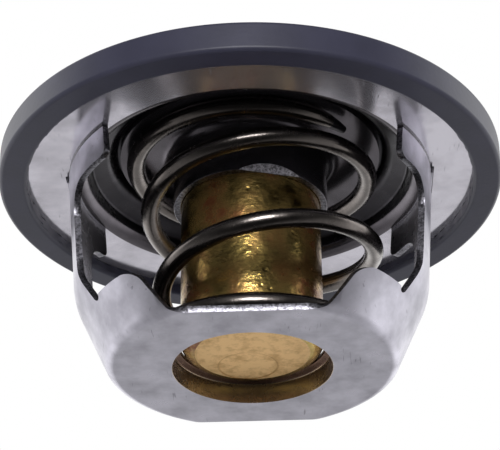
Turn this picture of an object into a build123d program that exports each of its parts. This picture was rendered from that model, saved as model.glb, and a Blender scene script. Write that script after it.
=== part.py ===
# Engine thermostat: a wax element, a spring-loaded valve disc and their carrier, on a flange
# that drops into a round housing recess and seals there with a rubber ring round its edge.
# The axis is +Z. z = 0 is the flat foot of the lower cage. All sizes are in millimetres.

from build123d import *
import math
import os

# ----- sealing ring and flange -----
seal_diameter = 54.0  # outside of the rubber ring, the size of the housing recess
seal_thickness = 3.4
seal_lip_width = 3.0  # from the ring's outside to the inner edge of its lips
seal_wall = 1.1  # rubber outside the flange's edge
seal_rounding = 0.45
flange_height = 22.1  # underside of the flange above the foot
flange_sheet = 1.0
lug_land = 4.4  # flat ring of the flange between the cage's legs and the rubber
flange_bend = 0.4  # inside radius of every bend in the flange
step_rise = 2.0
shoulder_rise = 0.8
seat_rise = 1.1
seat_wall_draft = 0.3
seat_land = 0.8  # how far the flange's inner edge covers the valve disc

# ----- lower cage -----
cage_sheet = 0.7
leg_clearance = 0.3  # leg to the flange's drawn step
leg_draft = 1.1  # the legs lean out by this much from knee to flange
knee_height = 7.9
dish_run = 3.6  # the dish wall spreads by this much from the flat to the knee
flat_bend = 0.3
knee_bend = 5.0
chord_setback = 2.0  # the straight front and back edges, inside the corner of the flat
rim_height = 5.0  # cut rim of the dish between the legs
rim_corner = 1.4
leg_waist = 5.5  # half width of a leg at its narrowest
leg_root = 6.9  # half width of a leg at the rim
leg_root_rise = 4.5
leg_flank_bend = 7.0
relief_radius = 0.65
ear_height = 3.6
ear_half_width = 11.1
left_ear_shift = 1.8  # the left leg's ears stand this far towards the front
ear_fillet = 3.0
ear_corner = 0.9
guide_clearance = 0.10  # element to the collar that it slides in
collar_bend = 0.2
collar_height = 2.9
tang_width = 5.2
tang_clearance = 0.15  # tang to its slot, and the inside radius of the clinched bend
lug_gap = 1.5  # tip of a clinched lug to the rubber

# ----- valve disc -----
valve_margin = 3.1  # radial room round the disc inside the drawn step
valve_clearance = 0.5  # rim of the disc to the wall of its seat
valve_sheet = 0.8
seat_gap = 0.05  # closed valve, disc to seat
neck_length = 6.1  # collar of the disc, down the element
neck_bend = 1.6
press_gap = 0.02  # between pieces that are pressed or packed together

# ----- wax element -----
element_radius = 7.45
element_floor_height = 1.7  # bottom of the element above the foot
element_edge = 1.5
cup_wall = 1.0
cup_floor = 1.3
cup_flange_room = 2.1  # rolled flange of the cup to the flange's inner edge
cup_flange_sheet = 0.8
crimp_overlap = 1.8
sleeve_flange_thickness = 0.9
cover_flange_thickness = 1.4
cover_neck_radius = 4.6
cover_neck_height = 4.0
wax_depth = 2.8  # wax under the closed end of the sleeve
sleeve_wall = 1.4
sleeve_end = 1.0
sleeve_rounding = 1.2
piston_radius = 2.0
piston_clearance = 0.05
piston_taper = 0.6
piston_end_gap = 0.1
washer_radius = 3.9
washer_thickness = 0.7
wiper_radius = 3.1
wiper_thickness = 1.3
cover_chamfer = 0.5

# ----- spring -----
wire_radius = 1.0
spring_edge = 0.6  # top coil to the rim of the valve disc
spring_seat_shift = 0.425  # bottom coil, inwards from the middle of the cage's flat
spring_seat_gap = 0.05
bottom_seat_turns = 0.6
active_turns = 2.83
top_seat_turns = 0.32
pitch_in_turns = 0.31
pitch_out_turns = 0.83
bow_turn = 0.9  # where the coils stand furthest to one side
bow_at_seat = 0.15  # share of the bow that the bottom coil has
bow_clearance = 0.15  # the coils lean over until they almost touch the element
bow_heading = -41.8  # degrees from +X to the side where they lean
points_per_turn = 20

# ----- upper bridge -----
bridge_sheet = 1.0
bridge_foot_gap = 0.7  # end of a foot to the rubber
bridge_step_gap = 0.8  # leg of the bridge to the flange's drawn step
bridge_neck_rise = 4.4
bridge_neck_draft = 0.7
bridge_apex_half = 7.0
bridge_foot_width = 14.0
bridge_waist_width = 9.0
bridge_pad_radius = 7.4
bridge_foot_bend = 1.6
bridge_neck_bend = 6.0
bridge_apex_bend = 4.0
bridge_foot_corner = 2.0
piston_reveal = 3.5  # piston that shows between the cover and the bridge
socket_depth = 2.4
socket_rounding = 0.8
weld_radius = 1.3
weld_depth = 0.2
weld_spacing = 6.4

# ----- radii and heights that follow -----
seal_radius = seal_diameter / 2
seal_inner_radius = seal_radius - seal_lip_width
seal_lip = (seal_thickness - flange_sheet) / 2
seal_bottom = flange_height - seal_lip
flange_radius = seal_radius - seal_wall
flange_top = flange_height + flange_sheet
cage_top_radius = seal_inner_radius - lug_land
leg_inner_radius = cage_top_radius - cage_sheet
step_radius = leg_inner_radius - leg_clearance - flange_bend - flange_sheet
step_height = flange_height + step_rise
shoulder_height = step_height + shoulder_rise
seat_height = shoulder_height + seat_rise
valve_radius = step_radius - valve_margin
seat_wall_radius = valve_radius + valve_clearance
shoulder_radius = seat_wall_radius + seat_wall_draft
seat_radius = valve_radius - seat_land

knee_radius = cage_top_radius - leg_draft
flat_radius = knee_radius - dish_run
chord_distance = flat_radius - chord_setback
ear_bottom = flange_height - ear_height
guide_radius = element_radius + guide_clearance
collar_radius = guide_radius + cage_sheet
lug_radius = seal_inner_radius - lug_gap

valve_top = seat_height - seat_gap
valve_bottom = valve_top - valve_sheet
neck_inner_radius = element_radius + press_gap
neck_radius = neck_inner_radius + valve_sheet
neck_bottom = valve_bottom - neck_length

cup_bore_radius = element_radius - cup_wall
cup_floor_top = element_floor_height + cup_floor
cup_flange_radius = seat_radius - cup_flange_room
ledge_top = valve_top + cup_flange_sheet
mouth_radius = cup_flange_radius - cup_flange_sheet
sleeve_flange_top = ledge_top + sleeve_flange_thickness
cover_flange_top = sleeve_flange_top + cover_flange_thickness
crimp_top = cover_flange_top + cup_flange_sheet
cover_top = cover_flange_top + cover_neck_height
insert_radius = mouth_radius - press_gap
bore_radius = piston_radius + piston_clearance
sleeve_radius = bore_radius + sleeve_wall
sleeve_bottom = cup_floor_top + wax_depth
pocket_bottom = sleeve_bottom + sleeve_end
piston_bottom = pocket_bottom + piston_end_gap

spring_bottom = cage_sheet + spring_seat_gap + wire_radius
spring_top = valve_bottom - spring_seat_gap - wire_radius
spring_top_radius = valve_radius - spring_edge - wire_radius
spring_seat_radius = (collar_radius + flat_radius) / 2 - spring_seat_shift
bow_reach = spring_seat_radius - wire_radius - element_radius - bow_clearance

bridge_apex = cover_top + piston_reveal
bridge_leg_radius = step_radius + flange_sheet + bridge_step_gap
bridge_foot_end = seal_inner_radius - bridge_foot_gap
socket_radius = piston_radius + piston_clearance
socket_top = bridge_apex + socket_depth
piston_top = socket_top - piston_end_gap


def sheet_outline(corners, inside_bends, sheet):
    """Outline of a formed sheet's section: its corner points and the radius at each.

    It is worked out from the corners of the sheet's right-hand face and its inside bend radii.
    """
    points = [Vector(*corner) for corner in corners]
    runs = [(after - before).normalized() for before, after in zip(points, points[1:])]
    across = [run.rotate(Axis.Z, 90) for run in runs]
    left_points = [points[0] + across[0] * sheet]
    bends = [0]
    left_bends = [0]
    for point, before, after, run, bend in zip(points[1:], across, across[1:], runs[1:], inside_bends):
        left_points.append(point + (before + after) * (sheet / (1 + before.dot(after))))
        turns_left = before.dot(run) > 0
        bends.append(bend + sheet if turns_left else bend)
        left_bends.append(bend if turns_left else bend + sheet)
    left_points.append(points[-1] + across[-1] * sheet)
    return points + left_points[::-1], bends + [0, 0] + left_bends[::-1]


def spring_height(turn):
    """Height of the wire's centre: flat seat coils with a smooth change of pitch between them."""
    rise = spring_top - spring_bottom
    pitch = rise / (active_turns - pitch_in_turns / 2 - pitch_out_turns / 2)
    if turn <= 0:
        return spring_bottom
    if turn >= active_turns:
        return spring_top
    if turn < pitch_in_turns:
        return spring_bottom + pitch * turn**2 / (2 * pitch_in_turns)
    left = active_turns - turn
    if left < pitch_out_turns:
        return spring_top - pitch * left**2 / (2 * pitch_out_turns)
    return spring_bottom + pitch * (turn - pitch_in_turns / 2)


def spring_bow(turn):
    """Share of the sideways bow at a turn: small at the seats, full at bow_turn."""
    if turn < bow_turn:
        swing = (1 - math.cos(math.pi * max(turn, 0) / bow_turn)) / 2
        return bow_at_seat + (1 - bow_at_seat) * swing
    return max(0, 1 - (turn - bow_turn) / (active_turns - bow_turn))


def spring_point(turn):
    """Point on the wire's centre line, counted in turns from the front of the bottom coil."""
    growth = max(0, min(1, (turn - bow_turn) / (active_turns - bow_turn)))
    radius = spring_seat_radius + (spring_top_radius - spring_seat_radius) * growth
    angle = 2 * math.pi * turn
    lean = bow_reach * spring_bow(turn)
    across = radius * math.sin(angle) + lean * math.cos(math.radians(bow_heading))
    deep = -radius * math.cos(angle) + lean * math.sin(math.radians(bow_heading))
    return (across, deep, spring_height(turn))


os.makedirs("parts", exist_ok=True)

# Flange: one deep-drawn stainless stamping, stepped up to the valve seat, slotted for the cage
flange_face = [
    (seat_radius, seat_height),
    (seat_wall_radius, seat_height),
    (shoulder_radius, shoulder_height),
    (step_radius, step_height),
    (step_radius, flange_height),
    (flange_radius, flange_height),
]
outline, radii = sheet_outline(flange_face, [flange_bend] * 4, flange_sheet)
with BuildPart() as flange:
    with BuildSketch(Plane.XZ):
        with BuildLine():
            FilletPolyline(*outline, radius=radii, close=True)
        make_face()
    revolve(axis=Axis.Z)
    with BuildSketch(Plane.XY.offset(flange_height)):
        with Locations((cage_top_radius - cage_sheet / 2, 0)):
            Rectangle(cage_sheet + 2 * tang_clearance, tang_width + 2 * tang_clearance)
        mirror(about=Plane.YZ)
    extrude(amount=flange_sheet, mode=Mode.SUBTRACT)

# Sealing ring: a rubber ring of U section that grips the flange's edge
with BuildPart() as seal_ring:
    with BuildSketch(Plane.XZ) as seal_section:
        with Locations((seal_radius - seal_lip_width / 2, flange_height + flange_sheet / 2)):
            Rectangle(seal_lip_width, seal_thickness)
        fillet(seal_section.vertices(), seal_rounding)
        with Locations((flange_radius, flange_height)):
            Rectangle(seal_lip_width, flange_sheet, align=(Align.MAX, Align.MIN), mode=Mode.SUBTRACT)
    revolve(axis=Axis.Z)

# Lower cage: one stamping with a dished foot, a guide collar and two legs that end in wide ears.
# It is a bowl of sheet, kept where it lies inside cage_trim.
cage_face = [
    (guide_radius, collar_height),
    (guide_radius, 0),
    (flat_radius, 0),
    (knee_radius, knee_height),
    (cage_top_radius, flange_height),
]
outline, radii = sheet_outline(cage_face, [collar_bend, flat_bend, knee_bend], cage_sheet)
tang_face = [
    (cage_top_radius, flange_height - cage_sheet),
    (cage_top_radius, flange_top),
    (lug_radius, flange_top),
]
tang_outline, tang_radii = sheet_outline(tang_face, [tang_clearance], cage_sheet)
with BuildPart() as cage_trim:
    for side, ear_shift in ((1, 0), (-1, left_ear_shift)):
        with BuildSketch(Plane.YZ):
            for depth, ear_reach in ((1, ear_half_width - ear_shift), (-1, ear_half_width + ear_shift)):
                with BuildLine():
                    FilletPolyline(
                        (0, 0),
                        (depth * chord_distance, 0),
                        (depth * chord_distance, rim_height),
                        (depth * leg_root, rim_height),
                        (depth * leg_waist, rim_height + leg_root_rise),
                        (depth * leg_waist, ear_bottom),
                        (depth * ear_reach, ear_bottom),
                        (depth * ear_reach, flange_height),
                        (0, flange_height),
                        radius=[0, 0, rim_corner, 0, leg_flank_bend, ear_fillet, ear_corner, 0, 0],
                        close=True,
                    )
                make_face()
            with Locations((leg_root + relief_radius, rim_height), (-leg_root - relief_radius, rim_height)):
                Circle(relief_radius, mode=Mode.SUBTRACT)
        extrude(amount=side * seal_radius)
with BuildPart() as lower_cage:
    with BuildSketch(Plane.XZ):
        with BuildLine():
            FilletPolyline(*outline, radius=radii, close=True)
        make_face()
    revolve(axis=Axis.Z)
    add(cage_trim.part, mode=Mode.INTERSECT)
    with BuildSketch(Plane.XZ):
        with BuildLine():
            FilletPolyline(*tang_outline, radius=tang_radii, close=True)
        make_face()
        mirror(about=Plane.YZ)
    extrude(amount=tang_width / 2, both=True)

# Valve disc: a stainless pressing whose collar is pressed over the element
valve_face = [(neck_radius, neck_bottom), (neck_radius, valve_bottom), (valve_radius, valve_bottom)]
outline, radii = sheet_outline(valve_face, [neck_bend], valve_sheet)
with BuildPart() as valve_disc:
    with BuildSketch(Plane.XZ):
        with BuildLine():
            FilletPolyline(*outline, radius=radii, close=True)
        make_face()
    revolve(axis=Axis.Z)

# Element cup: drawn brass, its rolled mouth clamps the cover and the sleeve
with BuildPart() as element_cup:
    with BuildSketch(Plane.XZ) as cup_section:
        with BuildLine():
            Polyline(
                (0, element_floor_height),
                (element_radius, element_floor_height),
                (element_radius, valve_top),
                (cup_flange_radius, valve_top),
                (cup_flange_radius, crimp_top),
                (cup_flange_radius - crimp_overlap, crimp_top),
                (cup_flange_radius - crimp_overlap, cover_flange_top),
                (mouth_radius, cover_flange_top),
                (mouth_radius, ledge_top),
                (cup_bore_radius, ledge_top),
                (cup_bore_radius, cup_floor_top),
                (0, cup_floor_top),
                close=True,
            )
        make_face()
        corner = cup_section.vertices().sort_by_distance((element_radius, element_floor_height))[0]
        fillet(corner, element_edge)
        shoulder = cup_section.vertices().sort_by_distance((cup_flange_radius, crimp_top))[0]
        fillet(shoulder, cup_flange_sheet / 2)
    revolve(axis=Axis.Z)

# Rubber sleeve: a boot round the piston, with a flange that seals the wax in
with BuildPart() as rubber_sleeve:
    with BuildSketch(Plane.XZ) as sleeve_section:
        with BuildLine():
            Polyline(
                (0, sleeve_bottom),
                (sleeve_radius, sleeve_bottom),
                (sleeve_radius, ledge_top),
                (insert_radius, ledge_top),
                (insert_radius, sleeve_flange_top),
                (bore_radius, sleeve_flange_top),
                (bore_radius, pocket_bottom),
                (0, pocket_bottom),
                close=True,
            )
        make_face()
        tip = sleeve_section.vertices().sort_by_distance((sleeve_radius, sleeve_bottom))[0]
        fillet(tip, sleeve_rounding)
    revolve(axis=Axis.Z)

# Wax charge: fills the cup round the sleeve
with BuildPart() as wax_charge:
    with BuildSketch(Plane.XZ) as wax_section:
        with BuildLine():
            Polyline(
                (0, cup_floor_top + press_gap),
                (cup_bore_radius - press_gap, cup_floor_top + press_gap),
                (cup_bore_radius - press_gap, ledge_top - press_gap),
                (sleeve_radius + press_gap, ledge_top - press_gap),
                (sleeve_radius + press_gap, sleeve_bottom - press_gap),
                (0, sleeve_bottom - press_gap),
                close=True,
            )
        make_face()
    revolve(axis=Axis.Z)

# Element cover: turned brass, guides the piston and holds the washer and the wiper ring
with BuildPart() as element_cover:
    with BuildSketch(Plane.XZ) as cover_section:
        with BuildLine():
            Polyline(
                (washer_radius, sleeve_flange_top),
                (insert_radius, sleeve_flange_top),
                (insert_radius, cover_flange_top),
                (cover_neck_radius, cover_flange_top),
                (cover_neck_radius, cover_top),
                (wiper_radius, cover_top),
                (wiper_radius, cover_top - wiper_thickness),
                (bore_radius, cover_top - wiper_thickness),
                (bore_radius, sleeve_flange_top + washer_thickness),
                (washer_radius, sleeve_flange_top + washer_thickness),
                close=True,
            )
        make_face()
        nose = cover_section.vertices().sort_by_distance((cover_neck_radius, cover_top))[0]
        chamfer(nose, cover_chamfer)
    revolve(axis=Axis.Z)

# Back-up washer: keeps the rubber from creeping up along the piston
with BuildPart() as backup_washer:
    with BuildSketch(Plane.XY.offset(sleeve_flange_top)):
        Circle(washer_radius - press_gap)
        Circle(bore_radius, mode=Mode.SUBTRACT)
    extrude(amount=washer_thickness - press_gap)

# Wiper ring: keeps dirt out of the cover's bore
with BuildPart() as wiper_ring:
    with BuildSketch(Plane.XY.offset(cover_top - wiper_thickness + press_gap)):
        Circle(wiper_radius - press_gap)
        Circle(bore_radius, mode=Mode.SUBTRACT)
    extrude(amount=wiper_thickness - press_gap)
    fillet(wiper_ring.faces().sort_by(Axis.Z)[-1].edges().sort_by(SortBy.RADIUS)[-1:], wiper_thickness / 4)

# Piston: a ground rod, tapered at its lower end, held in the bridge's socket
with BuildPart() as piston:
    with BuildSketch(Plane.XZ) as piston_section:
        with BuildLine():
            Polyline(
                (0, piston_bottom),
                (piston_radius - piston_taper, piston_bottom),
                (piston_radius, piston_bottom + 4 * piston_taper),
                (piston_radius, piston_top),
                (0, piston_top),
                close=True,
            )
        make_face()
        head = piston_section.vertices().sort_by_distance((piston_radius, piston_top))[0]
        chamfer(head, piston_taper / 2)
    revolve(axis=Axis.Z)

# Main spring: round wire, flat seat coils, wider at the valve disc and bowed to one side
with BuildPart() as main_spring:
    first_turn = -bottom_seat_turns
    all_turns = bottom_seat_turns + active_turns + top_seat_turns
    steps = math.ceil(all_turns * points_per_turn)
    with BuildLine() as wire_line:
        Spline(*[spring_point(first_turn + all_turns * step / steps) for step in range(steps + 1)])
    with BuildSketch(Plane(origin=wire_line.line @ 0, z_dir=wire_line.line % 0)):
        Circle(wire_radius)
    sweep()

# Upper bridge: a stamped strip with two welded feet and a socket for the piston
half_strip = [
    (bridge_foot_end, flange_top),
    (bridge_leg_radius, flange_top),
    (bridge_leg_radius - bridge_neck_draft, flange_top + bridge_neck_rise),
    (bridge_apex_half, bridge_apex),
]
strip_face = [(-across, height) for across, height in half_strip] + half_strip[::-1]
half_bends = [bridge_foot_bend, bridge_neck_bend, bridge_apex_bend]
outline, radii = sheet_outline(strip_face, half_bends + half_bends[::-1], bridge_sheet)
with BuildPart() as upper_bridge:
    with BuildSketch(Plane.YZ):
        with BuildLine():
            FilletPolyline(*outline, radius=radii, close=True)
        make_face()
    extrude(amount=bridge_foot_width / 2, both=True)
    with BuildSketch(Plane.XY.offset(flange_top)) as bridge_plan:
        with BuildLine():
            Polyline(
                (bridge_foot_width / 2, bridge_foot_end),
                (bridge_foot_width / 2, bridge_leg_radius - bridge_neck_draft),
                (bridge_waist_width / 2, bridge_apex_half),
                (bridge_waist_width / 2, -bridge_apex_half),
                (bridge_foot_width / 2, -bridge_leg_radius + bridge_neck_draft),
                (bridge_foot_width / 2, -bridge_foot_end),
                (0, -bridge_foot_end),
                (0, bridge_foot_end),
                close=True,
            )
        make_face()
        mirror(about=Plane.YZ)
        foot_corners = bridge_plan.vertices().filter_by_position(Axis.Y, bridge_foot_end - 1, seal_radius)
        other_corners = bridge_plan.vertices().filter_by_position(Axis.Y, -seal_radius, 1 - bridge_foot_end)
        fillet(foot_corners + other_corners, bridge_foot_corner)
        Circle(bridge_pad_radius)
    extrude(amount=2 * seal_radius, mode=Mode.INTERSECT)
    with BuildSketch(Plane.XY.offset(bridge_apex)):
        Circle(socket_radius + bridge_sheet)
    extrude(amount=socket_depth + bridge_sheet)
    fillet(upper_bridge.edges().group_by(Axis.Z)[-1], socket_rounding)
    with BuildSketch(Plane.XY.offset(bridge_apex)):
        Circle(socket_radius)
    extrude(amount=socket_depth, mode=Mode.SUBTRACT)
    weld_distance = (bridge_leg_radius + bridge_foot_bend + bridge_foot_end) / 2
    with BuildSketch(Plane.XY.offset(flange_top + bridge_sheet - weld_depth)):
        with GridLocations(weld_spacing, 2 * weld_distance, 2, 2):
            Circle(weld_radius)
    extrude(amount=weld_depth, mode=Mode.SUBTRACT)

pieces = {
    "flange": flange,
    "seal_ring": seal_ring,
    "lower_cage": lower_cage,
    "valve_disc": valve_disc,
    "element_cup": element_cup,
    "rubber_sleeve": rubber_sleeve,
    "wax_charge": wax_charge,
    "element_cover": element_cover,
    "backup_washer": backup_washer,
    "wiper_ring": wiper_ring,
    "piston": piston,
    "main_spring": main_spring,
    "upper_bridge": upper_bridge,
}
for name, piece in pieces.items():
    piece.part.label = name
    export_step(piece.part, f"parts/{name}.step")
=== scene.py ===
import math

import bmesh
import bpy
from bpy.props import FloatProperty, FloatVectorProperty, IntProperty, PointerProperty
from mathutils import Matrix, Vector


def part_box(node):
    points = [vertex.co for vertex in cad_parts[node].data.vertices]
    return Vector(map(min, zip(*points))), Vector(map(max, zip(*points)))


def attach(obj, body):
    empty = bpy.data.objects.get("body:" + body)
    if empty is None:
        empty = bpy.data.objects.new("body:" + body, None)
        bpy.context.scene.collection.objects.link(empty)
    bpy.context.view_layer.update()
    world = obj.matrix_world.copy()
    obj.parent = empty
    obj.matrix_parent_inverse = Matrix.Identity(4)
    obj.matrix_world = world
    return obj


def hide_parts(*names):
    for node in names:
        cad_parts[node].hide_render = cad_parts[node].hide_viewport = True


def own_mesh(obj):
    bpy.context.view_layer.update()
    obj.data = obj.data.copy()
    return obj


bl_info = {
    "name": "Wax element coolant valve",
    "version": (1, 0, 0),
    "blender": (4, 5, 0),
    "location": "3D View > Sidebar > Coolant Valve",
    "description": "Builds an engine's coolant valve with its flange, cage, spring and wax element",
    "category": "Add Mesh",
}

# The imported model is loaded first: every piece goes where its nodes are.
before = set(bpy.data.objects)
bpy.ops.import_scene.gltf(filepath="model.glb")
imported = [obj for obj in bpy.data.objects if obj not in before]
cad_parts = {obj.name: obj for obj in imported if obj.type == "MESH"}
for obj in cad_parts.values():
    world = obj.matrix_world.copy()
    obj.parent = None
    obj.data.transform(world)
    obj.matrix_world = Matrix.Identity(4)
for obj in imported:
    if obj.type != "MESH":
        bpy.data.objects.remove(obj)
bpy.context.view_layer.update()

MM = 0.001
TURN_STEPS = 256  # segments round the axis, so that mirror-like rings show no facets
CAGE_STEPS = 320
ROD_STEPS = 96

# The mark that the press's ejector left on the closed end of the cup.
EJECTOR_PLACE = (-0.56 * MM, 2.8 * MM)
EJECTOR_RADIUS = 3.1 * MM


# ----- sizes and colours a user would change -----


def length(name, description, millimetres):
    """A size in the panel, given here in millimetres."""
    size = {"unit": "LENGTH", "subtype": "DISTANCE", "precision": 5}
    return FloatProperty(name=name, description=description, default=millimetres * MM, **size)


def mm(*millimetres):
    """Lengths in metres from millimetres."""
    return [value * MM for value in millimetres]


def linear(hex_colour):
    """An sRGB hex value as the linear colour that shaders take."""
    channels = [int(hex_colour[i : i + 2], 16) / 255 for i in (1, 3, 5)]
    return tuple(c / 12.92 if c <= 0.04045 else ((c + 0.055) / 1.055) ** 2.4 for c in channels)


def colour(name, description, hex_colour):
    """A colour in the panel, given here as an sRGB hex value."""
    shade = {"subtype": "COLOR", "size": 3, "min": 0, "max": 1, "default": linear(hex_colour)}
    return FloatVectorProperty(name=name, description=description, **shade)


class ValveSizes(bpy.types.PropertyGroup):
    """Sizes of the sheet metal, the rubber, the wax element and the spring."""

    seal_radius: length("Seal radius", "Outside of the rubber ring", 27.0)
    seal_inner: length("Seal lip radius", "Inner edge of the rubber lips", 24.0)
    seal_low: length("Seal underside", "Lower lip above the foot", 20.9)
    seal_high: length("Seal top", "Upper lip above the foot", 24.3)
    seal_rounding: length("Seal rounding", "Corners of the ring", 0.45)
    flange_radius: length("Flange radius", "Edge inside the rubber", 25.9)
    flange_low: length("Flange height", "Underside above the foot", 22.1)
    flange_sheet: length("Flange sheet", "Thickness of the flange", 1.0)
    flange_bend: length("Flange bend", "Inside of the flange's bends", 0.4)
    step_radius: length("Step radius", "Drawn step, inside face", 17.2)
    cage_sheet: length("Cage sheet", "Thickness of the cage", 0.7)
    guide_radius: length("Guide radius", "Bore that guides the element", 7.55)
    collar_height: length("Collar height", "Top of the guide collar", 2.9)
    flat_radius: length("Foot radius", "Corner of the cage's flat foot", 14.9)
    knee_radius: length("Knee radius", "Cage at the knee of its legs", 18.5)
    knee_height: length("Knee height", "Height of the knee of the legs", 7.9)
    cage_top_radius: length("Leg radius", "Outside of the legs at the flange", 19.6)
    chord_distance: length("Chord distance", "Front and back edges from the axis", 12.9)
    rim_height: length("Rim height", "Cut rim of the dish between the legs", 5.0)
    ear_reach: length("Ear reach", "Half width of a leg's ears", 11.1)
    ear_shift: length("Ear shift", "Left leg's ears, towards the front", 1.8)
    tang_width: length("Tang width", "Tab clinched over the flange", 5.2)
    valve_radius: length("Valve radius", "Edge of the valve disc", 14.1)
    valve_low: length("Valve height", "Underside of the closed valve disc", 25.15)
    valve_sheet: length("Valve sheet", "Thickness of the valve disc", 0.8)
    neck_radius: length("Neck radius", "Outside of the disc's collar", 8.27)
    neck_low: length("Neck height", "Lower lip of the disc's collar", 19.05)
    element_radius: length("Element radius", "Outside of the brass cup", 7.45)
    element_low: length("Element height", "Closed end of the brass cup", 1.7)
    piston_radius: length("Piston radius", "Ground rod", 2.0)
    wire_radius: length("Wire radius", "Spring wire", 1.0)
    spring_low: length("Spring bottom", "Wire's centre in the bottom coil", 1.75)
    spring_high: length("Spring top", "Wire's centre in the top coil", 24.1)
    spring_radius: length("Spring radius", "Mean radius of the bottom coil", 11.15)
    spring_top_radius: length("Top coil radius", "Mean radius of the top coil", 12.5)
    spring_lean: length("Spring lean", "How far the coils lean to one side", 2.55)
    bridge_sheet: length("Bridge sheet", "Thickness of the upper bridge", 1.0)
    bridge_apex: length("Bridge height", "Underside of the bridge's flat top", 36.55)


class ValveFinish(bpy.types.PropertyGroup):
    """Colours of the bare metals and the rubber."""

    flange_steel: colour("Flange steel", "Bright drawn stainless sheet", "#D0CDD6")
    # Painted shade: a darker copy of the flange steel, for the flange's step and the valve disc.
    drawn_steel: colour("Drawn steel", "Stainless dulled where the press stretched it", "#59555A")
    # Painted shade: the darkest copy, for the recesses, the cage's inside, the top of its legs and
    # the wire's tips.
    oiled_steel: colour("Oiled steel", "Stainless under oil and scale, in the recesses", "#312F33")
    cage_steel: colour("Cage steel", "Tumbled stainless sheet", "#ACAAB4")
    # Painted reflection of the brass cup: a golden tone on the wall of the cage's mouth, and a
    # brown one on its ledge.
    brassed_steel: colour("Brassed steel", "Brass rubbed onto the mouth of the cage", "#AE9E8B")
    browned_steel: colour("Browned steel", "Brown oil on the ledge in that mouth", "#574237")
    spring_steel: colour("Spring steel", "Oil-tempered wire", "#6E6865")
    brass: colour("Element brass", "Drawn brass where it is rubbed bright", "#B89F5E")
    brass_stain: colour("Brass stain", "Drawn brass, browned by heat and oil", "#74462C")
    brass_end: colour("Brass end face", "Tumbled brass", "#F4D198")
    seal_rubber: colour("Seal rubber", "Moulded nitrile rubber", "#2C2C3A")


# ----- how the pieces are made -----


def lay_aside():
    """Nothing stays selected, so that an operator acts only on the piece in hand."""
    if bpy.context.object and bpy.context.object.mode != "OBJECT":
        bpy.ops.object.mode_set(mode="OBJECT")
    bpy.ops.object.select_all(action="DESELECT")


def take(piece):
    """Makes one piece the selected and active one."""
    lay_aside()
    piece.select_set(True)
    bpy.context.view_layer.objects.active = piece


def pick(piece, wanted):
    """Selects, in edit mode, the points that wanted accepts by their place."""
    bpy.ops.mesh.select_mode(type="VERT")
    bpy.ops.mesh.select_all(action="DESELECT")
    shape = bmesh.from_edit_mesh(piece.data)
    for point in shape.verts:
        point.select_set(wanted(point.co))
    shape.select_flush_mode()
    bmesh.update_edit_mesh(piece.data)


def near(place, reach=2e-6):
    """A test for points that lie at one place."""
    return lambda spot: (spot - place).length < reach


def across(along, up):
    """A section's point in the plane through the axis, facing the front."""
    return Vector((along, 0, up))


def sideways(along, up):
    """A section's point in the plane through the axis, seen from the side."""
    return Vector((0, along, up))


def flat(along, deep):
    """A plan's point."""
    return Vector((along, deep, 0))


def draw_line(name, corners, radii, plane=across, closed=True, arc=8):
    """Draws a section point by point and rounds its corners; the piece stays in edit mode."""
    places = [plane(*corner) for corner in corners]
    lay_aside()
    bpy.ops.mesh.primitive_plane_add(size=MM)
    piece = bpy.context.object
    piece.name = name
    bpy.ops.object.mode_set(mode="EDIT")
    bpy.ops.mesh.merge(type="CENTER")
    bpy.ops.transform.translate(value=places[0])
    for before, after in zip(places, places[1:]):
        bpy.ops.mesh.extrude_region_move(TRANSFORM_OT_translate={"value": after - before})
    if closed:
        pick(piece, lambda spot: near(places[0])(spot) or near(places[-1])(spot))
        bpy.ops.mesh.edge_face_add()
    for i, radius in enumerate(radii):
        if radius:
            back = (places[i - 1] - places[i]).normalized()
            ahead = (places[(i + 1) % len(places)] - places[i]).normalized()
            turn = math.pi - back.angle(ahead)
            pick(piece, near(places[i]))
            cut = radius * math.tan(turn / 2)
            bpy.ops.mesh.bevel(offset=cut, segments=arc, affect="VERTICES")
    return piece


def sheet_outline(corners, inside_bends, sheet):
    """A formed sheet's outline and its radii, from its right-hand face and inside bend radii."""
    points = [Vector(corner) for corner in corners]
    runs = [(after - before).normalized() for before, after in zip(points, points[1:])]
    left = [Vector((-run.y, run.x)) for run in runs]
    left_points = [points[0] + left[0] * sheet]
    bends, left_bends = [0], [0]
    for point, before, after, run, bend in zip(points[1:], left, left[1:], runs[1:], inside_bends):
        left_points.append(point + (before + after) * (sheet / (1 + before.dot(after))))
        turns_left = before.dot(run) > 0
        bends.append(bend + sheet if turns_left else bend)
        left_bends.append(bend if turns_left else bend + sheet)
    left_points.append(points[-1] + left[-1] * sheet)
    return [tuple(p) for p in points + left_points[::-1]], bends + [0, 0] + left_bends[::-1]


def close_up(piece):
    """Merges doubles and turns all faces outwards, then leaves edit mode."""
    bpy.ops.mesh.select_all(action="SELECT")
    bpy.ops.mesh.remove_doubles(threshold=1e-6)
    bpy.ops.mesh.normals_make_consistent(inside=False)
    bpy.ops.object.mode_set(mode="OBJECT")


def turned(name, corners, radii, finishes, steps=TURN_STEPS, **drawing):
    """Draws a section, spins it round the axis into a closed body and gives it its finishes."""
    piece = draw_line(name, corners, radii, **drawing)
    bpy.ops.mesh.select_all(action="SELECT")
    bpy.ops.mesh.spin(steps=steps, angle=2 * math.pi, center=(0, 0, 0), axis=(0, 0, 1))
    close_up(piece)
    coat(piece, *finishes)
    return piece


def raise_outline(piece, lift, shift=Vector((0, 0, 0))):
    """Fills the drawn outline, moves it by shift and extrudes it both ways by lift."""
    bpy.ops.mesh.select_all(action="SELECT")
    bpy.ops.mesh.edge_face_add()
    bpy.ops.transform.translate(value=shift - lift)
    bpy.ops.mesh.extrude_region_move(TRANSFORM_OT_translate={"value": 2 * lift})
    close_up(piece)


def shaped(primitive, **form):
    """Adds a primitive and puts its place and scale into its mesh."""
    lay_aside()
    primitive(**form)
    bpy.ops.object.transform_apply()
    return bpy.context.object


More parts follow.
